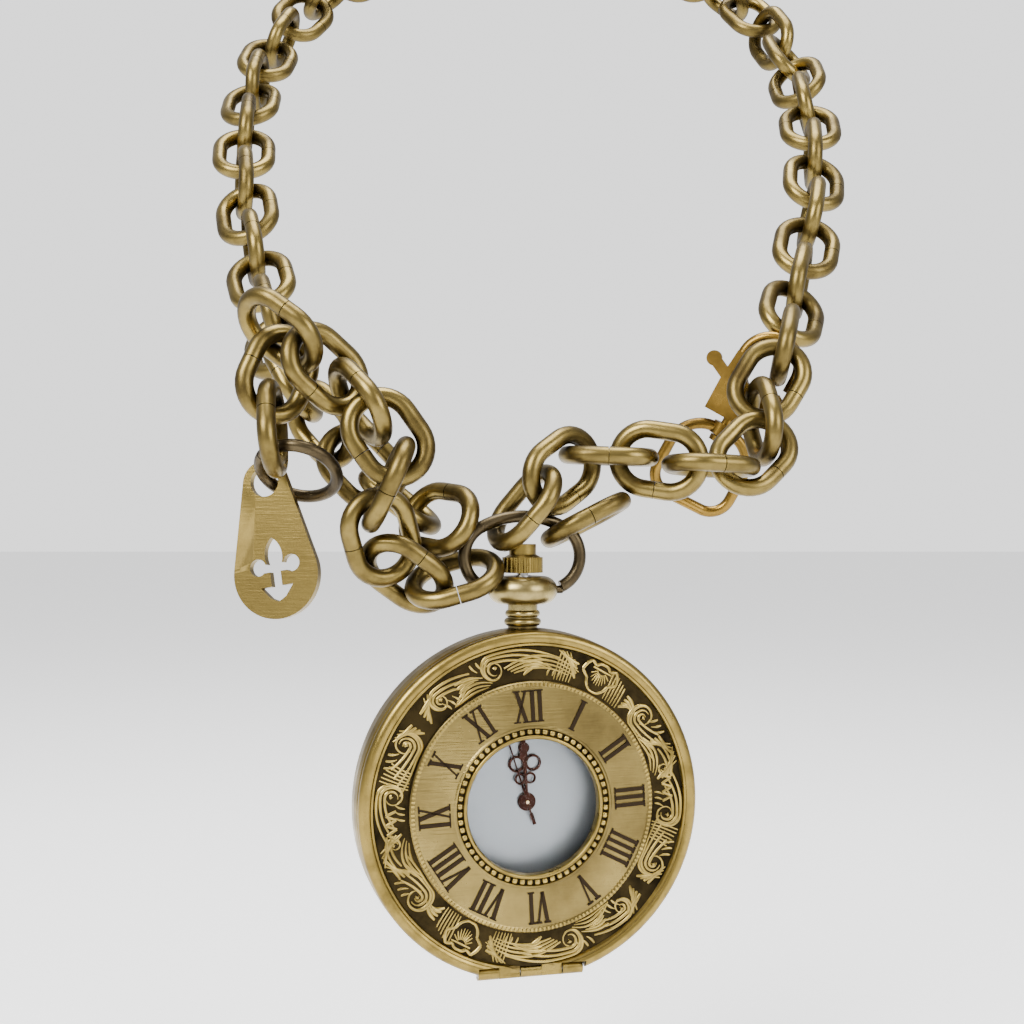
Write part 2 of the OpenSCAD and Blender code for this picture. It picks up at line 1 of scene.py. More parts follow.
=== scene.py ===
"""Pocket watch on a heavy cable chain: the looks of every piece, built on the CAD frame."""

import logging
import math
from dataclasses import dataclass, field
from enum import Enum

import bpy
from mathutils import Matrix, Vector


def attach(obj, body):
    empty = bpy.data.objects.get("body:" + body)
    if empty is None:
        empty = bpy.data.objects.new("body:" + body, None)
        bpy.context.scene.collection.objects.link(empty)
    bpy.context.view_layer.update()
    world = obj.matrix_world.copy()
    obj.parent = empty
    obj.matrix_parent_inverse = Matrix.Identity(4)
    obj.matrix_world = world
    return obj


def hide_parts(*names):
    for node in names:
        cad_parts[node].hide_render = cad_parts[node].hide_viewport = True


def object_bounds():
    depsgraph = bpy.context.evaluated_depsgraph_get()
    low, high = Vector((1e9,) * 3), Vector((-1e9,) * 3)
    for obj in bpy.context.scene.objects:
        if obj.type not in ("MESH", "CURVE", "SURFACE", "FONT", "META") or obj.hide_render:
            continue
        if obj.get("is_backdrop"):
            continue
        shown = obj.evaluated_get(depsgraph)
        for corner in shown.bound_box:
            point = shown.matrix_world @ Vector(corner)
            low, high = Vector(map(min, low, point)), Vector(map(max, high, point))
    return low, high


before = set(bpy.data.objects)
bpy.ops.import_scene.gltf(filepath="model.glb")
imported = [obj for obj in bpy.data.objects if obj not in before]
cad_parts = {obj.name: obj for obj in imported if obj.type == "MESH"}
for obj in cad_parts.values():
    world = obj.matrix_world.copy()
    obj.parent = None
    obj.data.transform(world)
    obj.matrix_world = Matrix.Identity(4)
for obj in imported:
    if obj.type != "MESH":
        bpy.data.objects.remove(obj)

LOG = logging.getLogger("watch_chain")
MM = 0.001
Point = tuple[float, float]


# ---------------------------------------------------------------- finishes


@dataclass(frozen=True)
class BrassFinish:
    """An antiqued brass: bright worn metal over a darker patina, with fine scratches, and painted shade darkening
    its crevices where asked.
    """

    name: str
    bright: tuple[float, float, float]
    patina: tuple[float, float, float]
    rough: tuple[float, float] = (0.24, 0.42)
    cloud: float = 130.0
    dark_share: float = 0.45
    brush: float = 0.0
    # How far painted shade darkens the colour in crevices, by ambient occlusion; 0 for none.
    painted_crevice_shade: float = 0.0

    def build(self) -> bpy.types.Material:
        """Makes the node material.

        Returns:
            The finished material.
        """
        mat = bpy.data.materials.new(self.name)
        mat.use_nodes = True
        nodes, links = mat.node_tree.nodes, mat.node_tree.links
        shader = nodes["Principled BSDF"]
        shader.inputs["Metallic"].default_value = 1.0
        coords = nodes.new("ShaderNodeTexCoord").outputs["Object"]
        clouds = nodes.new("ShaderNodeTexNoise")
        clouds.inputs["Scale"].default_value = self.cloud
        clouds.inputs["Detail"].default_value = 6.0
        clouds.inputs["Roughness"].default_value = 0.62
        links.new(coords, clouds.inputs["Vector"])
        ramp = nodes.new("ShaderNodeValToRGB")
        ramp.color_ramp.elements[0].position = self.dark_share - 0.14
        ramp.color_ramp.elements[0].color = (*self.patina, 1.0)
        ramp.color_ramp.elements[1].position = self.dark_share + 0.18
        ramp.color_ramp.elements[1].color = (*self.bright, 1.0)
        links.new(clouds.outputs["Fac"], ramp.inputs["Fac"])
        colour = ramp.outputs["Color"]
        # Painted shade: the colour is darkened in crevices, where nearby metal hides the sky.
        if self.painted_crevice_shade > 0:
            colour = self._paint_crevice_shade(nodes, links, colour)
        links.new(colour, shader.inputs["Base Color"])
        span = nodes.new("ShaderNodeMapRange")
        span.inputs["From Min"].default_value = 0.35
        span.inputs["From Max"].default_value = 0.68
        span.inputs["To Min"].default_value = self.rough[1]
        span.inputs["To Max"].default_value = self.rough[0]
        links.new(clouds.outputs["Fac"], span.inputs["Value"])
        links.new(span.outputs["Result"], shader.inputs["Roughness"])
        grain = nodes.new("ShaderNodeTexNoise")
        grain.inputs["Scale"].default_value = 900.0
        grain.inputs["Detail"].default_value = 3.0
        vector = coords
        if self.brush > 0:
            stretch = nodes.new("ShaderNodeMapping")
            stretch.inputs["Rotation"].default_value = (0.0, math.radians(38), math.radians(14))
            stretch.inputs["Scale"].default_value = (0.08, 1.0, 4.0)
            links.new(coords, stretch.inputs["Vector"])
            vector = stretch.outputs["Vector"]
        links.new(vector, grain.inputs["Vector"])
        bump = nodes.new("ShaderNodeBump")
        bump.inputs["Strength"].default_value = 0.10 + self.brush
        bump.inputs["Distance"].default_value = 0.00006
        links.new(grain.outputs["Fac"], bump.inputs["Height"])
        links.new(bump.outputs["Normal"], shader.inputs["Normal"])
        return mat

    def _paint_crevice_shade(self, nodes: bpy.types.Nodes, links: bpy.types.NodeLinks,
                         colour: bpy.types.NodeSocket) -> bpy.types.NodeSocket:
        """Paints shade into the colour: multiplies it by how open the surface is, so crevices come out darker.

        Args:
            nodes: The material's nodes.
            links: The material's links.
            colour: The colour before.

        Returns:
            The colour with the painted crevice shade.
        """
        open_sky = nodes.new("ShaderNodeAmbientOcclusion")
        open_sky.inputs["Distance"].default_value = 0.0009
        open_sky.samples = 6
        ramp = nodes.new("ShaderNodeMapRange")
        ramp.inputs["From Min"].default_value = 0.35
        ramp.inputs["From Max"].default_value = 0.9
        ramp.inputs["To Min"].default_value = 1.0 - self.painted_crevice_shade
        links.new(open_sky.outputs["AO"], ramp.inputs["Value"])
        mix = nodes.new("ShaderNodeMix")
        mix.data_type = "RGBA"
        mix.blend_type = "MULTIPLY"
        mix.inputs["Factor"].default_value = 1.0
        links.new(colour, mix.inputs[6])
        links.new(ramp.outputs["Result"], mix.inputs[7])
        return mix.outputs[2]


@dataclass(frozen=True)
class PlainFinish:
    """A finish of one colour."""

    name: str
    colour: tuple[float, float, float]
    metallic: float = 0.0
    roughness: float = 0.5
    transmission: float = 0.0
    alpha: float = 1.0
    glow: float = 0.0

    def build(self) -> bpy.types.Material:
        """Makes the material and returns it."""
        mat = bpy.data.materials.new(self.name)
        mat.use_nodes = True
        shader = mat.node_tree.nodes["Principled BSDF"]
        shader.inputs["Base Color"].default_value = (*self.colour, 1.0)
        shader.inputs["Metallic"].default_value = self.metallic
        shader.inputs["Roughness"].default_value = self.roughness
        shader.inputs["Transmission Weight"].default_value = self.transmission
        shader.inputs["Alpha"].default_value = self.alpha
        shader.inputs["Emission Color"].default_value = (1.0, 1.0, 1.0, 1.0)
        shader.inputs["Emission Strength"].default_value = self.glow
        if self.transmission > 0:
            shader.inputs["IOR"].default_value = 1.05
        return mat


class Finish(Enum):
    """Every finish on the object."""

    # LINK, RIM, COLLAR and RELIEF add painted shade in their crevices (ambient occlusion) on top of their random
    # patina.
    LINK = BrassFinish("antique_brass_painted_shade", (0.20, 0.145, 0.043), (0.05, 0.034, 0.011), (0.25, 0.42),
                       painted_crevice_shade=0.6)
    RIM = BrassFinish("worn_case_brass_painted_shade", (0.23, 0.162, 0.042), (0.09, 0.062, 0.016), (0.24, 0.38),
                      300.0, 0.36, painted_crevice_shade=0.5)
    COLLAR = BrassFinish("collar_brass", (0.42, 0.33, 0.13), (0.10, 0.072, 0.025), (0.2, 0.36),
                         painted_crevice_shade=0.5)
    GROUND = BrassFinish("recess_patina", (0.03, 0.021, 0.008), (0.008, 0.006, 0.003), (0.4, 0.6), 240.0)
    RELIEF = BrassFinish("relief_brass", (0.36, 0.26, 0.07), (0.12, 0.083, 0.022), (0.24, 0.4),
                         210.0, 0.40, painted_crevice_shade=0.35)
    CHAPTER = BrassFinish("brushed_chapter_brass", (0.23, 0.17, 0.054), (0.085, 0.06, 0.02),
                          (0.25, 0.36), 60.0, 0.48, 0.45)
    BRONZE = BrassFinish("dark_bronze", (0.09, 0.068, 0.036), (0.03, 0.022, 0.012), (0.27, 0.42))
    CLASP = BrassFinish("golden_clasp", (0.26, 0.155, 0.03), (0.07, 0.042, 0.01), (0.24, 0.38))
    TAG = BrassFinish("tag_brass", (0.24, 0.172, 0.048), (0.10, 0.069, 0.02), (0.26, 0.38), 70.0,
                      0.42, 0.3)
    GEAR = BrassFinish("wheel_brass", (0.72, 0.58, 0.30), (0.6, 0.46, 0.22), (0.25, 0.35))
    BLACK = PlainFinish("numeral_patina", (0.022, 0.015, 0.009), 1.0, 0.4)
    HANDS = PlainFinish("hand_lacquer", (0.035, 0.015, 0.011), 1.0, 0.4)
    DIAL = PlainFinish("dial_silver", (0.27, 0.29, 0.305), 0.7, 0.36)
    GLASS = PlainFinish("clear_glass", (1.0, 1.0, 1.0), 0.0, 0.03, 1.0)
    STEEL = PlainFinish("steel", (0.55, 0.55, 0.56), 1.0, 0.3)
    PLASTIC = PlainFinish("ivory_moulding", (0.78, 0.76, 0.70), 0.0, 0.5)
    BOARD = PlainFinish("green_laminate", (0.02, 0.14, 0.07), 0.0, 0.4)
    COPPER = PlainFinish("enamelled_wire", (0.55, 0.20, 0.08), 0.9, 0.35)
    FLOOR = PlainFinish("pale_floor", (0.9, 0.9, 0.9), 0.0, 0.8, glow=0.6)


MATERIALS: dict[str, bpy.types.Material] = {}


def material(finish: Finish) -> bpy.types.Material:
    """The material of a finish, made once."""
    if finish.name not in MATERIALS:
        MATERIALS[finish.name] = finish.value.build()
    return MATERIALS[finish.name]


# ---------------------------------------------------------------- workshop


def deselect() -> None:
    """Leaves object mode with nothing selected."""
    if bpy.context.object and bpy.context.object.mode != "OBJECT":
        bpy.ops.object.mode_set(mode="OBJECT")
    bpy.ops.object.select_all(action="DESELECT")


def activate(obj: bpy.types.Object) -> None:
    """Selects one object only."""
    deselect()
    obj.select_set(True)
    bpy.context.view_layer.objects.active = obj


def clean(obj: bpy.types.Object, distance: float = 1e-6) -> None:
    """Merges doubles and turns the faces outwards.

    Args:
        obj: A closed mesh.
        distance: The merge distance in metres.
    """
    activate(obj)
    bpy.ops.object.mode_set(mode="EDIT")
    bpy.ops.mesh.select_all(action="SELECT")
    bpy.ops.mesh.remove_doubles(threshold=distance)
    bpy.ops.mesh.normals_make_consistent(inside=False)
    bpy.ops.object.mode_set(mode="OBJECT")


def smooth(obj: bpy.types.Object, angle: float = 35.0) -> None:
    """Shades an object smooth where its faces meet at less than an angle."""
    activate(obj)
    bpy.ops.object.shade_smooth_by_angle(angle=math.radians(angle))


def join(objs: list[bpy.types.Object], name: str) -> bpy.types.Object:
    """Joins objects into one and applies its place.

    Args:
        objs: The objects to join.
        name: The name of the result.

    Returns:
        The joined object.
    """
    deselect()
    for obj in objs:
        obj.select_set(True)
    bpy.context.view_layer.objects.active = objs[0]
    if len(objs) > 1:
        bpy.ops.object.join()
    bpy.ops.object.transform_apply(location=True, rotation=True, scale=True)
    joined = bpy.context.object
    joined.name = name
    return joined


def copies(model: bpy.types.Object, places: list[Matrix], name: str) -> bpy.types.Object:
    """Copies a modelled piece to each place and joins the copies.

    Args:
        model: The piece at its own origin, removed afterwards.
        places: Where the copies go.
        name: The name of the joined piece.

    Returns:
        The joined copies.
    """
    made = []
    for place in places:
        twin = model.copy()
        twin.data = model.data.copy()
        twin.data.transform(place)
        bpy.context.collection.objects.link(twin)
        made.append(twin)
    bpy.data.objects.remove(model)
    return join(made, name)


def lathe(name: str, outline: list[Point], segments: int = 180) -> bpy.types.Object:
    """Turns a closed outline about the Z axis.

    Args:
        name: The name of the piece.
        outline: Radius and height of each corner, in millimetres.
        segments: Facets round the axis.

    Returns:
        The turned piece.
    """
    deselect()
    radius, height = outline[0]
    bpy.ops.mesh.primitive_circle_add(vertices=segments, radius=radius * MM,
                                      location=(0, 0, height * MM))
    obj = bpy.context.object
    bpy.ops.object.transform_apply(location=True)
    bpy.ops.object.mode_set(mode="EDIT")
    bpy.ops.mesh.select_all(action="SELECT")
    for r, h in outline[1:] + outline[:1]:
        bpy.ops.mesh.extrude_region_move()
        scale = max(r, 1e-4) / max(radius, 1e-4)
        bpy.ops.transform.resize(value=(scale, scale, 1), center_override=(0, 0, height * MM))
        bpy.ops.transform.translate(value=(0, 0, (h - height) * MM))
        radius, height = r, h
    bpy.ops.object.mode_set(mode="OBJECT")
    clean(obj, 2e-6)
    obj.name = name
    smooth(obj, 28)
    return obj


def arc(cx: float, cy: float, radius: float, start: float, stop: float, steps: int) -> list[Point]:
    """Points on an arc.

    Args:
        cx: Centre, first coordinate.
        cy: Centre, second coordinate.
        radius: Radius.
        start: First angle in degrees.
        stop: Last angle in degrees.
        steps: Number of intervals.

    Returns:
        The points in order.
    """
    angles = [math.radians(start + (stop - start) * i / steps) for i in range(steps + 1)]
    return [(cx + radius * math.cos(a), cy + radius * math.sin(a)) for a in angles]


def bar(p: Point, q: Point, width: float, low: float, high: float) -> bpy.types.Object:
    """A flat bar from p to q on the bench, in millimetres."""
    deselect()
    length = math.dist(p, q)
    bpy.ops.mesh.primitive_cube_add(
        size=1,
        location=((p[0] + q[0]) / 2 * MM, (p[1] + q[1]) / 2 * MM, (low + high) / 2 * MM),
        rotation=(0, 0, math.atan2(q[1] - p[1], q[0] - p[0])),
        scale=(length * MM, width * MM, (high - low) * MM))
    return bpy.context.object


@dataclass
class Stroke:
    """A raised line: its points, each with a height and a half width, in millimetres."""

    points: list[Point]
    widths: list[float]


def strokes_mesh(name: str, strokes: list[Stroke], height: float, flat: float) -> bpy.types.Object:
    """Sweeps round strokes along smooth curves and flattens them.

    Args:
        name: The name of the piece.
        strokes: The lines.
        height: Height of the lines' centres on the bench.
        flat: How much the section is flattened.

    Returns:
        The strokes as one mesh.
    """
    deselect()
    bpy.ops.curve.primitive_nurbs_path_add()
    obj = bpy.context.object
    curve = obj.data
    curve.splines.clear()
    curve.dimensions = "3D"
    curve.bevel_depth = MM
    curve.bevel_resolution = 1
    curve.resolution_u = 3
    curve.use_fill_caps = True
    for stroke in strokes:
        spline = curve.splines.new("NURBS")
        spline.points.add(len(stroke.points) - 1)
        for control, (x, y), width in zip(spline.points, stroke.points, stroke.widths):
            control.co = (x * MM, y * MM, 0, 1)
            control.radius = width
        spline.order_u = 4
        spline.use_endpoint_u = True
    bpy.ops.object.convert(target="MESH")
    obj = bpy.context.object
    bpy.ops.object.mode_set(mode="EDIT")
    bpy.ops.mesh.select_all(action="SELECT")
    bpy.ops.transform.resize(value=(1, 1, flat), center_override=(0, 0, 0))
    bpy.ops.transform.translate(value=(0, 0, height * MM))
    bpy.ops.mesh.normals_make_consistent(inside=False)
    bpy.ops.object.mode_set(mode="OBJECT")
    obj.name = name
    smooth(obj, 60)
    return obj


def finish_piece(obj: bpy.types.Object, finish: Finish, body: str,
                 nodes: tuple[str, ...] = ()) -> None:
    """Dresses a piece and ties it to its CAD body.

    Args:
        obj: The piece.
        finish: Its finish.
        body: The body it rides on.
        nodes: The CAD nodes it stands for.
    """
    obj.data.materials.clear()
    obj.data.materials.append(material(finish))
    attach(obj, body)
    if nodes:
        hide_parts(*nodes)
    LOG.info("%s on %s: %d faces", obj.name, body, len(obj.data.polygons))


# ---------------------------------------------------------------- chain


def unit_heading(turn: float, tilt: float) -> Vector:
    """Direction with a heading in the front plane and a tilt into depth, in degrees."""
    h, t = math.radians(turn), math.radians(tilt)
    return Vector((math.cos(h) * math.cos(t), math.sin(t), math.sin(h) * math.cos(t)))


def placed(centre: Vector, along: Vector, roll: float) -> Matrix:
    """Frame with X along a direction and its width turned by roll from the front plane.

    Args:
        centre: Where the origin goes, in millimetres.
        along: The X direction.
        roll: The turn about it in degrees.

    Returns:
        The place in metres.
    """
    w0 = along.cross(Vector((0, 1, 0))).normalized()
    n0 = along.cross(w0)
    r = math.radians(roll)
    w = w0 * math.cos(r) + n0 * math.sin(r)
    n = along.cross(w)
    turn = Matrix((along, w, n)).transposed().to_4x4()
    return Matrix.Translation(centre * MM) @ turn


@dataclass
class Chain:
    """The neck loop and the hanging strands, all of one kind of link."""

    length: float = 14.0
    width: float = 10.8
    wire: float = 2.5
    play: float = 0.16
    seam: float = 0.12
    heading: tuple[float, ...] = (6, 14, 24, 36, 50, 63, 74, 82, 88,
                                  91, 94, 96, 99, 102, 104, 106, 106, 104)
    slope: tuple[float, ...] = (76, 74, 70, 64, 58, 52, 48, 45, 44,
                                42, 44, 46, 48, 50, 50, 46, 42, 40)
    left_roll: tuple[float, ...] = (90, 0, 90, 0, 90, 0, 90, 0, 90,
                                       5, 75, -8, 70, 6, 72, -4, 78, 10)
    right_roll: tuple[float, ...] = (90, 0, 90, 0, 102, 24, 126, 48, 150,
                                        72, 174, 80, 5, 85, -5, 72, 8, 78)
    left_steps: tuple[tuple[float, ...], ...] = (
        (-59, -25, 97, 0.4),
        (-47, -18, 215, 0.2),
        (-46, -6, -22, 0.4),
        (-38, -13, 98, 2.2),
        (-9, -43, -19, 0),
    )
    doubled_steps: tuple[tuple[float, ...], ...] = (
        (196, -2, 59, 0),
        (143, -11, 141, 2.4),
        (103, -19, 24, 1.8),
        (64, -12, 99, 0),
        (125, 1, 12, 2.2),
        (134, 32, 119, 1.8),
        (137.3, -24.2, 35.6, 0.7),
        (143.6, 9.8, 131.3, 0.6),
    )
    right_steps: tuple[tuple[float, ...], ...] = (
        (-122, -12, 14, 1.1),
        (-84, -42, 77, 1.2),
        (-136, -20, 13, 2.4),
        (177, -15, 94, 0),
        (171, 12, -5, 2.4),
        (-182, 3, 89, 1.2),
        (-142, -31, -24, 0.2),
        (-130, 7, 63, 1.2),
    )
    doubled_start: tuple[float, ...] = (-6.4, -9.6, -7.8)
    tag_links: tuple = (
        ((-34.12, -12.48, 18.36), 69.0, 16.9, 31.6),
        ((-34.42, -14.62, 11.06), -83.8, 146.5, 89.8),
    )
    bow_link_at: tuple = ((7.4, -5, -1.1), 27, 10, 85)

    def direction(self, side: int, k: int) -> Vector:
        """Direction of the neck loop's step k down one side."""
        h, i = math.radians(self.heading[k]), math.radians(self.slope[k])
        return Vector((side * math.cos(h), -math.sin(h) * math.cos(i), -math.sin(h) * math.sin(i)))

    def neck_places(self, side: int) -> list[Matrix]:
        """Places of the links from the nape down one side."""
        pitch = self.length - 2 * self.wire - 0.2
        at = Vector((side * pitch / 2, 0, 0))
        rolls = self.left_roll if side < 0 else self.right_roll
        places = []
        for k, roll in enumerate(rolls):
            d = self.direction(side, k)
            places.append(placed(at + d * pitch / 2, d, -side * roll))
            at = at + d * pitch
        self.ends[side] = at
        return places

    def along(self, start: Vector, before: Vector, steps: tuple[tuple[float, ...], ...]) -> list[Matrix]:
        """Places of a strand's links, each hung in the one before.

        Args:
            start: The first contact point in millimetres.
            before: The direction that leads to it.
            steps: Heading, tilt, roll and slack of each link.

        Returns:
            The places of the links.
        """
        reach = self.wire / 2 + self.play / 2
        middle = self.length - self.wire
        places, at = [], start
        for i, (turn, tilt, roll, slack) in enumerate(steps):
            d = unit_heading(turn, tilt)
            after = unit_heading(*steps[i + 1][:2]) if i + 1 < len(steps) else d
            first = reach / math.sqrt((1 + before.dot(d)) / 2)
            last = reach / math.sqrt((1 + d.dot(after)) / 2)
            places.append(placed(at + d * (middle / 2 - first - slack / 2), d, roll))
            at = at + d * (middle - first - last - slack)
            before = d
        return places

    def link(self) -> bpy.types.Object:
        """Models one link: a circle swept round two bends, its cut ends facing across the seam.

        Returns:
            The link, flat in XY at the origin.
        """
        deselect()
        bend = (self.width - self.wire) / 2 * MM
        side = (self.length - self.wire) / 2 * MM - bend
        half_seam = self.seam / 2 * MM
        bpy.ops.mesh.primitive_circle_add(vertices=20, radius=self.wire / 2 * MM,
                                          location=(half_seam, bend, 0), rotation=(0, math.pi / 2, 0))
        obj = bpy.context.object
        bpy.ops.object.transform_apply(location=True, rotation=True)
        bpy.ops.object.mode_set(mode="EDIT")
        bpy.ops.mesh.select_all(action="SELECT")
        bpy.ops.mesh.extrude_region_move(TRANSFORM_OT_translate={"value": (side - half_seam, 0, 0)})
        bpy.ops.mesh.spin(steps=18, angle=math.pi, center=(side, 0, 0), axis=(0, 0, 1))
        bpy.ops.mesh.extrude_region_move(TRANSFORM_OT_translate={"value": (-2 * side, 0, 0)})
        bpy.ops.mesh.spin(steps=18, angle=math.pi, center=(-side, 0, 0), axis=(0, 0, 1))
        bpy.ops.mesh.extrude_region_move(TRANSFORM_OT_translate={"value": (side - half_seam, 0, 0)})
        bpy.ops.mesh.select_all(action="SELECT")
        bpy.ops.mesh.fill_holes(sides=0)
        bpy.ops.object.mode_set(mode="OBJECT")
        clean(obj)
        smooth(obj, 50)
        return obj

    def lay(self, name: str, places: list[Matrix], body: str) -> None:
        """Lays links at their places and lets them stand for the CAD node of that name."""
        obj = copies(self.link(), places, name + "_links")
        finish_piece(obj, Finish.LINK, body, (name,))

    def build(self) -> None:
        """Builds every link of the object."""
        self.ends: dict[int, Vector] = {}
        left, right = self.neck_places(-1), self.neck_places(1)
        nape = placed(Vector((0, 0, 0)), Vector((1, 0, 0)), 0)
        self.lay("neck_links", [nape] + left[:10] + right[:10], "neck")
        for k in range(10, 18):
            self.lay(f"left_link_{k + 1}", [left[k]], f"left_{k + 1}")
            self.lay(f"right_link_{k + 1}", [right[k]], f"right_{k + 1}")
        start = CHEST + Vector(self.doubled_start)
        doubled = self.along(start, unit_heading(*self.doubled_steps[0][:2]), self.doubled_steps)
        hung_left = self.along(self.ends[-1], self.direction(-1, 17), self.left_steps)
        hung_right = self.along(self.ends[1], self.direction(1, 17), self.right_steps)
        free = [placed(CHEST + Vector(at), unit_heading(turn, tilt), roll)
                for at, turn, tilt, roll in self.tag_links + (self.bow_link_at,)]
        self.lay("left_strand", hung_left, "front")
        self.lay("doubled_strand_low", doubled[:3], "front")
        self.lay("doubled_strand_high", doubled[3:], "front")
        self.lay("right_strand_high", hung_right[:4], "front")
        self.lay("right_strand_low", hung_right[4:], "front")
        self.lay("tag_strand", free[:2], "front")
        self.lay("bow_link", free[2:], "front")


CHEST = Vector((0, -90, -118.5))
COLLAR_AT = CHEST + Vector((-1.4, -7, -10.7))
COLLAR_Y = 28.6
PENDANT_Z = -1.4
YAW = math.radians(14)


def hung_place() -> Matrix:
    """Place of the watch, which is drawn flat with 12 o'clock at +Y and its face up."""
    flat = Matrix.Translation(Vector((0, -COLLAR_Y, -PENDANT_Z)) * MM)
    turn = Matrix.Rotation(YAW, 4, "Z") @ Matrix.Rotation(math.pi / 2, 4, "X")
    return Matrix.Translation(COLLAR_AT * MM) @ turn @ flat


def hang(obj: bpy.types.Object) -> bpy.types.Object:
    """Hangs a piece that is drawn flat at the watch's place."""
    obj.data.transform(hung_place())
    return obj


def on_dial(radius: float, clock: float) -> Point:
    """Point at a radius and an angle clockwise from 12 o'clock, in degrees."""
    a = math.radians(90 - clock)
    return radius * math.cos(a), radius * math.sin(a)


# ---------------------------------------------------------------- front cover


@dataclass
class FrontCover:
    """The stamped half-hunter cover: rim, recessed scrollwork, chapter ring, beads and bezel."""

    case_radius: float = 23.5
    window_radius: float = 9.0
    stamping_turn: float = -3.0
    ground_middle: float = 19.1
    hinge_half: float = 7.4
    skin_back: float = 3.45
    rim_back: float = 3.0
    strokes: list[Stroke] = field(default_factory=list)

    def rim(self) -> bpy.types.Object:
        """The rolled outer rim with its inner step."""
        outline = [(21.3, 2.55), (21.3, 3.75), (21.5, 4.1), (21.75, 4.18)]
        outline += arc(22.45, 3.35, 0.93, 130, -30, 12)
        outline += [(23.2, 2.55)]
        return lathe("cover_rim", outline)

    def ground(self) -> bpy.types.Object:
        """The recessed ground under the scrollwork."""
        return lathe("cover_ground", [(16.6, 3.3), (21.4, 3.3), (21.4, 3.72), (19, 3.9), (16.6, 3.95)])

    def chapter(self) -> bpy.types.Object:
        """The flat ring that carries the numerals."""
        outline = [(10.55, 3.35), (16.75, 3.35), (16.75, 4.45), (16.6, 4.62), (16.4, 4.66), (16.2, 4.6),
                   (16.05, 4.52), (10.9, 4.66), (10.7, 4.78), (10.5, 4.78), (10.4, 4.6)]
        return lathe("chapter_ring", outline)

    def groove(self) -> bpy.types.Object:
        """The dark groove of the bead ring."""
        return lathe("bead_groove", [(9.3, 3.6), (10.5, 3.6), (10.5, 4.35), (9.3, 4.35)])

    def bezel(self) -> bpy.types.Object:
        """The smooth bezel round the window."""
        outline = [(9.0, 3.57), (9.6, 3.57), (9.6, 4.7)] + arc(9.35, 4.72, 0.26, 0, 150, 6)
        return lathe("window_bezel", outline + [(9.02, 4.6)])

    def beads(self) -> bpy.types.Object:
        """Sixty squarish beads in the groove."""
        deselect()
        bpy.ops.mesh.primitive_cube_add(size=1, scale=(0.74 * MM, 0.76 * MM, 0.7 * MM))
        bead = bpy.context.object
        bpy.ops.object.transform_apply(scale=True)
        bevel = bead.modifiers.new("rounded", "BEVEL")
        bevel.width, bevel.segments = 0.22 * MM, 2
        bpy.ops.object.modifier_apply(modifier="rounded")
        places = []
        for i in range(60):
            x, y = on_dial(10.03, i * 6)
            turn = Matrix.Rotation(math.radians(-i * 6), 4, "Z")
            places.append(Matrix.Translation(Vector((x, y, 4.42)) * MM) @ turn)
        ring = copies(bead, places, "bead_ring")
        smooth(ring, 60)
        return ring

    def ticks(self) -> bpy.types.Object:
        """The milled ring outside the numerals."""
        model = bar((0, 16.12), (0, 16.58), 0.26, 4.4, 4.78)
        bpy.ops.object.transform_apply(location=True, rotation=True, scale=True)
        turns = [Matrix.Rotation(math.radians(i * 2), 4, "Z") for i in range(180)]
        return copies(model, turns, "milled_ring")

    def numeral(self, text: str) -> list[bpy.types.Object]:
        """One Roman numeral, upright at the origin, as serifed bars.

        Args:
            text: The numeral, in the letters I, V and X.

        Returns:
            Its bars.
        """
        high, thick, thin = 2.05, 0.52, 0.26
        advance = {"I": 1.02, "V": 2.05, "X": 2.1}
        x = -sum(advance[c] for c in text) / 2
        low, top = 4.3, 4.78
        parts = []
        for c in text:
            w = advance[c]
            m = x + w / 2
            if c == "I":
                parts.append(bar((m, -high), (m, high), thick, low, top))
                feet = [(m, -high), (m, high)]
            elif c == "V":
                parts.append(bar((m - 0.62, high), (m, -high), thick, low, top))
                parts.append(bar((m + 0.62, high), (m, -high), thin, low, top))
                feet = [(m - 0.62, high), (m + 0.62, high)]
            else:
                parts.append(bar((m - 0.62, high), (m + 0.62, -high), thick, low, top))
                parts.append(bar((m + 0.62, high), (m - 0.62, -high), thin, low, top))
                feet = [(m - 0.62, high), (m + 0.62, high), (m - 0.62, -high), (m + 0.62, -high)]
            parts += [bar((fx - 0.47, fy), (fx + 0.47, fy), 0.2, low, top) for fx, fy in feet]
            x += w
        return parts

    def numerals(self) -> bpy.types.Object:
        """The twelve numerals, feet towards the centre."""
        texts = ["XII", "I", "II", "III", "IIII", "V", "VI", "VII", "VIII", "IX", "X", "XI"]
        made = []
        for hour, text in enumerate(texts):
            group = join(self.numeral(text), text)
            turn = Matrix.Rotation(math.radians(-30 * hour), 4, "Z")
            group.data.transform(turn @ Matrix.Translation(Vector((0, 13.45, 0)) * MM))
            made.append(group)
        return join(made, "numerals")

    def add(self, clock: float, points: list[Point], wide: float, ends: float = 0.35) -> None:
        """Adds a stroke whose points are millimetres along and across the ground.

        Args:
            clock: Where the motif stands, clockwise from 12.
            points: The stroke's points.
            wide: Half width at the middle.
            ends: Half width at the ends, as a share of it.
        """
        n = len(points) - 1
        placed_points, widths = [], []
        for i, (u, v) in enumerate(points):
            r = self.ground_middle + max(-2.0, min(2.0, 1.22 * v))
            placed_points.append(on_dial(r, clock + math.degrees(1.12 * u / self.ground_middle)))
            widths.append(wide * (ends + (1 - ends) * math.sin(math.pi * min(i / n + 0.12, 1))))
        self.strokes.append(Stroke(placed_points, widths))

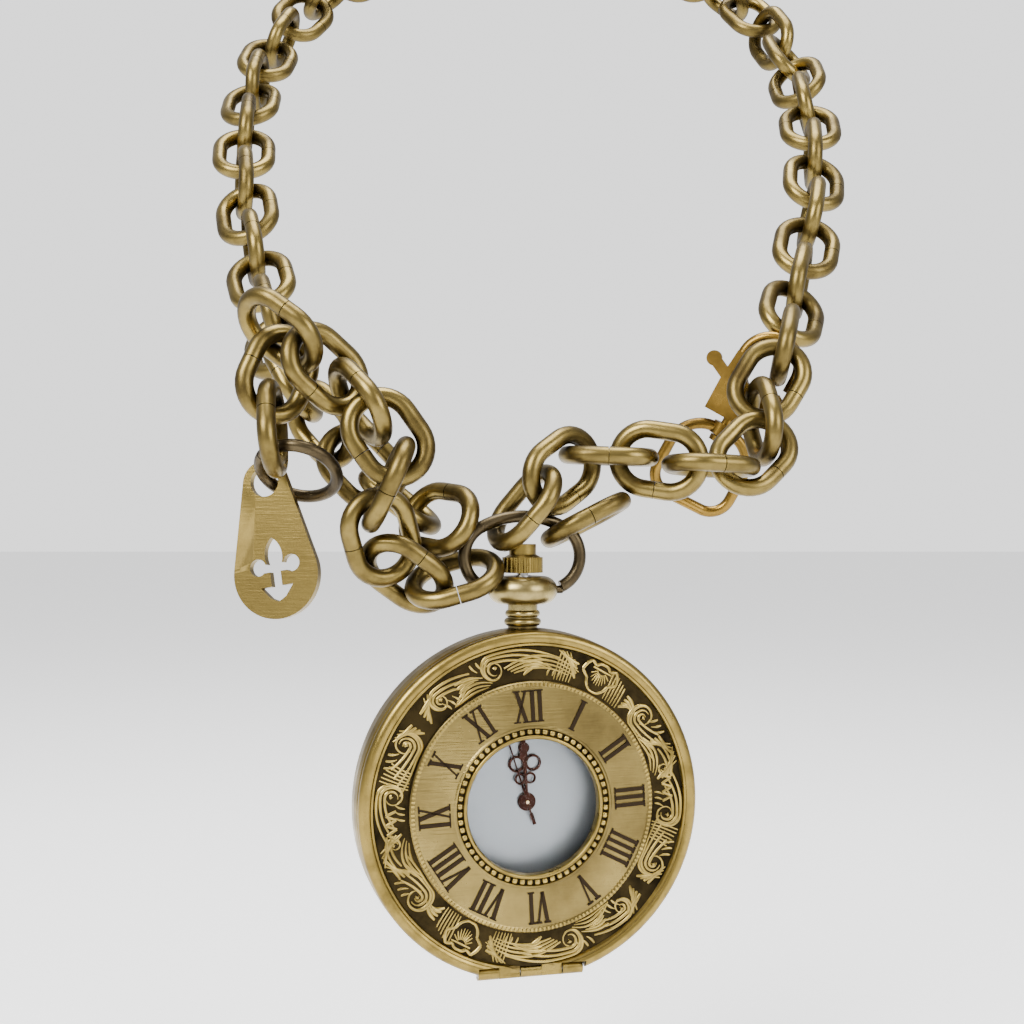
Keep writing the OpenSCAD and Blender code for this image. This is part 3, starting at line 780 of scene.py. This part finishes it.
    def scroll(self, clock: float, size: float, flip: int, out: int, tail: float) -> None:
        """A C-scroll: a spiral that runs out in nested lines along the ground.

        Args:
            clock: Where its eye stands.
            size: Radius of the outer turn.
            flip: 1 or -1, which way the tail runs.
            out: 1 if the tail leaves on the outer side, else -1.
            tail: Length of the tail.
        """
        for line in range(4):
            reach = size - 0.5 * line
            if reach < 0.3:
                continue
            turns = 330 if line == 0 else 150 + 20 * line
            spiral = []
            for i in range(15):
                t = i / 14
                r = reach * (1 - (0.62 if line == 0 else 0.1) * t)
                a = math.radians(90 + turns * t)
                spiral.append((flip * r * math.cos(a), out * r * math.sin(a)))
            run = [(flip * tail * (1 - 0.16 * line) * (1 - j / 5), out * (reach - 0.55 * size * (1 - j / 5) ** 2))
                   for j in range(5)]
            self.add(clock, run + spiral, 0.24)
        self.add(clock, [(0, 0), (0.12, 0.12), (0.2, 0)], 0.34, 0.9)

    def leaf(self, clock: float, length: float, lean: float, rise: float) -> None:
        """A spray of four tapering leaves.

        Args:
            clock: Where the stem stands.
            length: Length of the longest leaf.
            lean: Which way the leaves sweep, 1 or -1.
            rise: How far the tips bend across the ground.
        """
        for i in range(4):
            size = length * (1 - 0.17 * i)
            points = [(lean * size * t, rise * (0.15 + t * t) - 0.55 * i * (1 - t) + 0.5) for t in
                      (0, 0.25, 0.5, 0.75, 1)]
            self.add(clock, points, 0.33, 0.25)

    def crest(self, clock: float) -> None:
        """A notched shield with radiating ribs."""
        edge = [(-2.3, 0.4), (-1.6, 1.6), (-0.9, 1.25), (0, 1.9), (0.9, 1.25), (1.6, 1.6), (2.3, 0.4),
                (1.5, -0.3), (1.1, -1.2), (0, -1.9), (-1.1, -1.2), (-1.5, -0.3), (-2.3, 0.4)]
        for p, q in zip(edge, edge[1:]):
            middle = ((p[0] + q[0]) / 2 * 1.06, (p[1] + q[1]) / 2 * 1.06)
            self.add(clock, [p, middle, middle, q], 0.26, 0.8)
        for i in range(9):
            a = math.radians(200 + 17.5 * i)
            self.add(clock, [(0.5 * math.cos(a), 0.9 + 0.4 * math.sin(a)),
                             (0.9 * math.cos(a), 0.9 + 1.0 * math.sin(a)),
                             (1.25 * math.cos(a), 0.9 + 1.7 * math.sin(a))], 0.11, 0.7)
        self.add(clock, [(-1.2, 1.0), (-0.4, 0.95), (0.4, 0.95), (1.2, 1.0)], 0.16, 0.7)

    def hatch(self, clock: float, count: int, lean: float) -> None:
        """A wedge of short parallel lines."""
        for i in range(count):
            u = (i - count / 2) * 0.42
            top = 1.7 - 0.18 * i
            self.add(clock, [(u, -1.8), (u + lean * 0.3, -0.2), (u + lean, top)], 0.15, 0.6)

    def zigzag(self, clock: float) -> None:
        """A zigzag across the ground."""
        points = [(-1.6 + 0.55 * i, (0.55 if i % 2 else -0.55)) for i in range(7)]
        for p, q in zip(points, points[1:]):
            self.add(clock, [p, ((p[0] + q[0]) / 2, (p[1] + q[1]) / 2), q], 0.22, 0.9)

    def sweep(self, clock: float, span: float, lines: int, across: float) -> None:
        """Long parallel lines that follow the ring."""
        for i in range(lines):
            v = across - 0.45 * i
            points = [(span * (t - 0.5) * (1 - 0.08 * i), v - 1.1 * (2 * t - 1) ** 2 * (1 - 0.2 * i))
                      for t in (0, 0.17, 0.33, 0.5, 0.67, 0.83, 1)]
            self.add(clock, points, 0.23)

    def comma(self, clock: float, across: float, lean: float) -> None:
        """Three short comma strokes that fill the ground between two figures.

        Args:
            clock: Where the middle stroke stands.
            across: How far out of the ring's middle line they start.
            lean: Which way they bend, 1 or -1.
        """
        for i in range(-1, 2):
            points = [(0.75 * i + lean * 0.5 * t * t, across * (1 - 0.75 * t)) for t in
                      (0, 0.25, 0.5, 0.75, 1)]
            self.add(clock, points, 0.2, 0.3)

    def scrollwork(self) -> bpy.types.Object:
        """The stamped ornament, the same on both halves of the ring.

        Returns:
            The raised lines as one mesh.
        """
        for half in (0, 180):
            self.scroll(half - 13, 1.75, 1, 1, 8.0)
            self.leaf(half - 1, 3.6, 1, -0.8)
            self.sweep(half + 7, 9.5, 4, 0.9)
            self.comma(half + 12, -1.3, 1)
            self.hatch(half + 17, 6, 0.5)
            self.leaf(half + 22, 2.6, -1, 1.0)
            self.crest(half + 32)
            self.hatch(half + 42, 6, -0.4)
            self.leaf(half + 46, 2.4, 1, -0.9)
            self.scroll(half + 57, 1.95, 1, -1, 5.5)
            self.comma(half + 64, 1.4, -1)
            self.leaf(half + 67, 3.0, 1, 0.9)
            self.sweep(half + 73, 6.5, 3, -0.4)
            self.scroll(half + 80, 0.95, -1, 1, 3.0)
            self.zigzag(half + 88)
            self.leaf(half + 84, 3.2, -1, 1.1)
            self.comma(half + 92, -1.5, 1)
            self.scroll(half + 99, 1.75, -1, 1, 5.0)
            self.hatch(half + 107, 6, 0.6)
            self.comma(half + 112, 1.5, 1)
            self.scroll(half + 120, 1.95, -1, -1, 6.0)
            self.leaf(half + 128, 2.6, -1, 0.9)
            self.leaf(half + 133, 3.2, 1, 0.9)
            self.scroll(half + 142, 1.4, 1, 1, 4.5)
            self.comma(half + 146, -1.5, -1)
            self.leaf(half + 150, 3.4, 1, -0.8)
            self.sweep(half + 156, 6.5, 3, -0.6)
            self.comma(half + 161, 1.4, 1)
        return strokes_mesh("scrollwork", self.strokes, 3.86, 0.85)

    def shell(self) -> bpy.types.Object:
        """The cover's metal under the stamped skin, with its knuckles and lip.

        Returns:
            The CAD cover with its face set back, drawn flat.
        """
        cad_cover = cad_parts["front_cover"]
        obj = cad_cover.copy()
        obj.data = cad_cover.data.copy()
        obj.name = "cover_shell"
        bpy.context.collection.objects.link(obj)
        clean(obj)
        obj.data.transform(hung_place().inverted())
        for corner in obj.data.vertices:
            radius = math.hypot(corner.co.x, corner.co.y) / MM
            if radius < self.case_radius:
                face = self.skin_back if radius < 21.6 else self.rim_back
                corner.co.z = min(corner.co.z, face * MM)
        smooth(obj, 32)
        return obj

    def open_hinge(self, obj: bpy.types.Object) -> None:
        """Cuts the piece away over the hinge barrel.

        Args:
            obj: A turned piece that reaches the rim.
        """
        deselect()
        bpy.ops.mesh.primitive_cube_add(size=1, location=(0, -24.1 * MM, 4 * MM), scale=(
            2 * self.hinge_half * MM, 5.8 * MM, 6 * MM))
        cutter = bpy.context.object
        activate(obj)
        cut = obj.modifiers.new("hinge_gap", "BOOLEAN")
        cut.object, cut.solver = cutter, "EXACT"
        bpy.ops.object.modifier_apply(modifier="hinge_gap")
        bpy.data.objects.remove(cutter)

    def build(self) -> None:
        """Builds and dresses the cover."""
        turned = [(self.rim(), Finish.RIM), (self.ground(), Finish.GROUND),
                  (self.chapter(), Finish.CHAPTER), (self.groove(), Finish.GROUND),
                  (self.bezel(), Finish.RIM), (self.beads(), Finish.RELIEF),
                  (self.ticks(), Finish.RELIEF), (self.numerals(), Finish.BLACK),
                  (self.scrollwork(), Finish.RELIEF)]
        self.open_hinge(turned[0][0])
        for i, (obj, finish) in enumerate(turned):
            if finish in (Finish.BLACK, Finish.RELIEF):
                obj.data.transform(Matrix.Rotation(math.radians(-self.stamping_turn), 4, "Z"))
            finish_piece(hang(obj), finish, "cover")
        finish_piece(hang(self.shell()), Finish.RIM, "cover", ("front_cover",))


# ---------------------------------------------------------------- CAD pieces


def dress(node: str, finish: Finish) -> None:
    """Gives a CAD node its finish and smooth shading."""
    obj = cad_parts[node]
    obj.data.materials.clear()
    obj.data.materials.append(material(finish))
    smooth(obj, 32)


CAD_FINISH: dict[Finish, tuple[str, ...]] = {
    Finish.BRONZE: ("bow", "charm_ring"),
    Finish.COLLAR: ("pendant",),
    Finish.RIM: ("case_middle", "case_back", "crown"),
    Finish.STEEL: ("crown_stem", "stem_sleeve", "hinge_pin", "lock_slide", "battery_cell", "rotor",
                   "clasp_spring"),
    Finish.GLASS: ("crystal", "cover_window"),
    Finish.DIAL: ("dial",),
    Finish.HANDS: ("hour_hand", "minute_hand", "second_hand"),
    Finish.GEAR: ("hour_wheel", "cannon_pinion", "second_wheel", "movement_plate", "train_bridge",
                  "step_wheel", "minute_wheel"),
    Finish.PLASTIC: ("movement_holder",),
    Finish.BOARD: ("circuit_board",),
    Finish.COPPER: ("coil",),
    Finish.CLASP: ("clasp_body", "clasp_lever", "clasp_rivet", "clasp_loop"),
    Finish.TAG: ("charm_tag",),
}


# ---------------------------------------------------------------- studio


@dataclass
class Studio:
    """Pale floor, soft lights and the camera."""

    eye: Vector = field(default_factory=lambda: Vector((-2.85, -290, -118.5)))
    lens: float = 49.4

    def light(self, name: str, at: tuple[float, float, float], size: float, power: float) -> None:
        """Adds a soft square light that faces the object.

        Args:
            name: Its name.
            at: Its place in millimetres.
            size: Its side in millimetres.
            power: Its power in watts.
        """
        deselect()
        aim = Vector((0, -90, -130)) - Vector(at)
        bpy.ops.object.light_add(type="AREA", location=Vector(at) * MM,
                                 rotation=aim.to_track_quat("-Z", "Y").to_euler())
        lamp = bpy.context.object
        lamp.name = name
        lamp.data.size = size * MM
        lamp.data.energy = power

    def sky(self) -> None:
        """Surrounds the object with a pale tent, darker below, behind a plain white background."""
        world = bpy.data.worlds.new("studio")
        world.use_nodes = True
        nodes, links = world.node_tree.nodes, world.node_tree.links
        tent = nodes["Background"]
        split = nodes.new("ShaderNodeSeparateXYZ")
        links.new(nodes.new("ShaderNodeTexCoord").outputs["Generated"], split.inputs["Vector"])
        ramp = nodes.new("ShaderNodeValToRGB")
        for place, grey in ((0.0, 0.10), (0.42, 0.16), (0.58, 0.55), (1.0, 1.0)):
            stop = ramp.color_ramp.elements[0] if place == 0.0 else (
                ramp.color_ramp.elements[1] if place == 1.0 else ramp.color_ramp.elements.new(place))
            stop.color = (grey, grey, grey * 1.03, 1.0)
        span = nodes.new("ShaderNodeMapRange")
        span.inputs["From Min"].default_value = -1.0
        links.new(split.outputs["Z"], span.inputs["Value"])
        links.new(span.outputs["Result"], ramp.inputs["Fac"])
        links.new(ramp.outputs["Color"], tent.inputs["Color"])
        backdrop = nodes.new("ShaderNodeBackground")
        backdrop.inputs["Color"].default_value = (1.0, 1.0, 1.0, 1.0)
        backdrop.inputs["Strength"].default_value = 1.7
        mix = nodes.new("ShaderNodeMixShader")
        links.new(nodes.new("ShaderNodeLightPath").outputs["Is Camera Ray"], mix.inputs["Fac"])
        links.new(tent.outputs["Background"], mix.inputs[1])
        links.new(backdrop.outputs["Background"], mix.inputs[2])
        links.new(mix.outputs["Shader"], nodes["World Output"].inputs["Surface"])
        bpy.context.scene.world = world

    def build(self) -> None:
        """Sets the studio up."""
        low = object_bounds()[0][2]
        deselect()
        bpy.ops.mesh.primitive_plane_add(size=6, location=(0, 0, low - 0.03))
        floor = bpy.context.object
        floor.name = "floor"
        floor.data.materials.append(material(Finish.FLOOR))
        floor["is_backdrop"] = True
        self.light("key", (-260, -420, 180), 260, 5.0)
        self.light("fill", (330, -380, 40), 260, 2.0)
        self.light("top", (20, -60, 330), 300, 3.5)
        self.light("low", (0, -330, -330), 220, 0.8)
        self.sky()
        bpy.ops.object.camera_add(location=self.eye * MM, rotation=(math.pi / 2, 0, 0))
        camera = bpy.context.object
        camera.data.lens = self.lens
        camera.data.clip_start = 0.005
        bpy.context.scene.camera = camera


def main() -> None:
    """Builds the object, then the studio."""
    logging.basicConfig(level=logging.INFO, format="%(name)s: %(message)s")
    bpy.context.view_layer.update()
    Chain().build()
    FrontCover().build()
    for finish, nodes in CAD_FINISH.items():
        for node in nodes:
            dress(node, finish)
    Studio().build()


if __name__ == "__main__":
    main()
